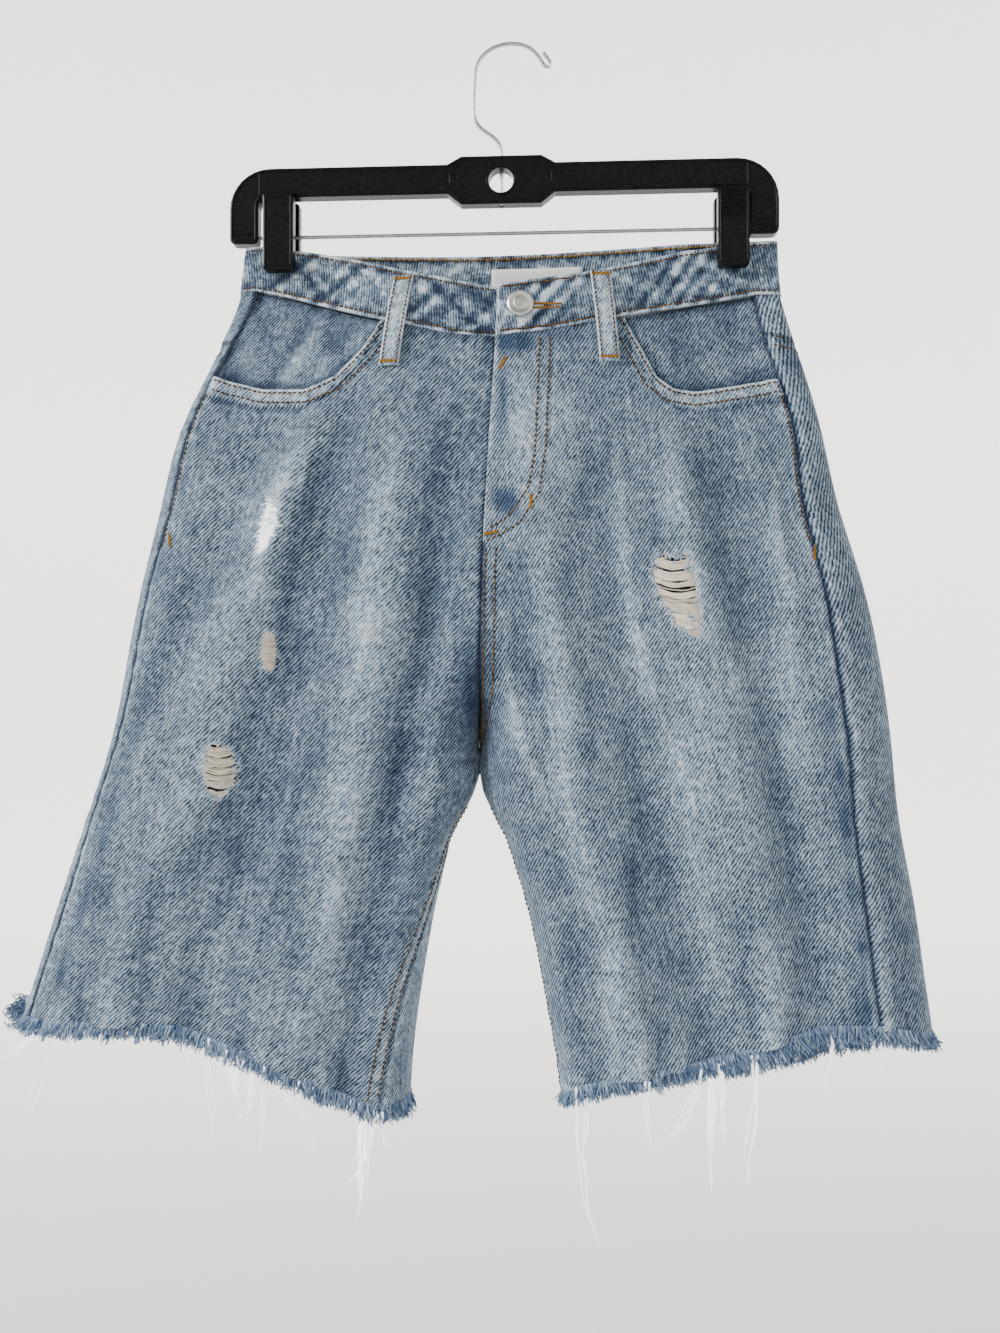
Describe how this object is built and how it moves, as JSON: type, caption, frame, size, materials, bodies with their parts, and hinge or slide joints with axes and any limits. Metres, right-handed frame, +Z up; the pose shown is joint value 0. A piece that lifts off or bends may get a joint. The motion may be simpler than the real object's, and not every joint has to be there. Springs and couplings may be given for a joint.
{
  "type": "denim shorts on clip hanger",
  "caption": "Raw-hem denim shorts held by the waistband on a clip hanger with a wire hook, with open waist and legs.",
  "frame": {"origin": "where the hanger's hook rests on its peg, inside the top of the bend", "axes": "+Z up, +X to the wearer's left, front faces -Y"},
  "size_m": [0.594, 0.072, 0.7676],
  "materials": {
    "denim": "light blue stone-washed cotton twill",
    "frayed_denim": "loose blue and white yarn ends",
    "loose_thread": "undyed cotton thread",
    "label_cloth": "blank white woven tape",
    "button_metal": "satin silver, plain rings",
    "black_plastic": "moulded, semi-gloss",
    "steel_wire": "bright drawn wire"
  },
  "bodies": {
    "root": {"front_right": "denim", "front_left": "denim", "back_right": "denim", "back_left": "denim", "yoke_right": "denim", "yoke_left": "denim", "waistband": "denim", "pocket_facing_right": "denim", "pocket_facing_left": "denim", "belt_loop_front_right": "denim", "belt_loop_front_left": "denim", "belt_loop_back_right": "denim", "belt_loop_back_left": "denim", "belt_loop_centre_back": "denim", "fringe_right": "frayed_denim", "fringe_left": "frayed_denim", "thread_tuft_right_outer": "loose_thread", "thread_tuft_right_inner": "loose_thread", "thread_tuft_left_inner": "loose_thread", "thread_tuft_left_middle": "loose_thread", "label": "label_cloth", "button": "button_metal", "hanger_bar": "black_plastic", "clip_right_front_jaw": "black_plastic", "clip_right_back_jaw": "black_plastic", "clip_left_front_jaw": "black_plastic", "clip_left_back_jaw": "black_plastic", "hanger_hook": "steel_wire", "hanger_rod": "steel_wire", "clip_right_spring": "steel_wire", "clip_left_spring": "steel_wire"}
  },
  "joints": []
}
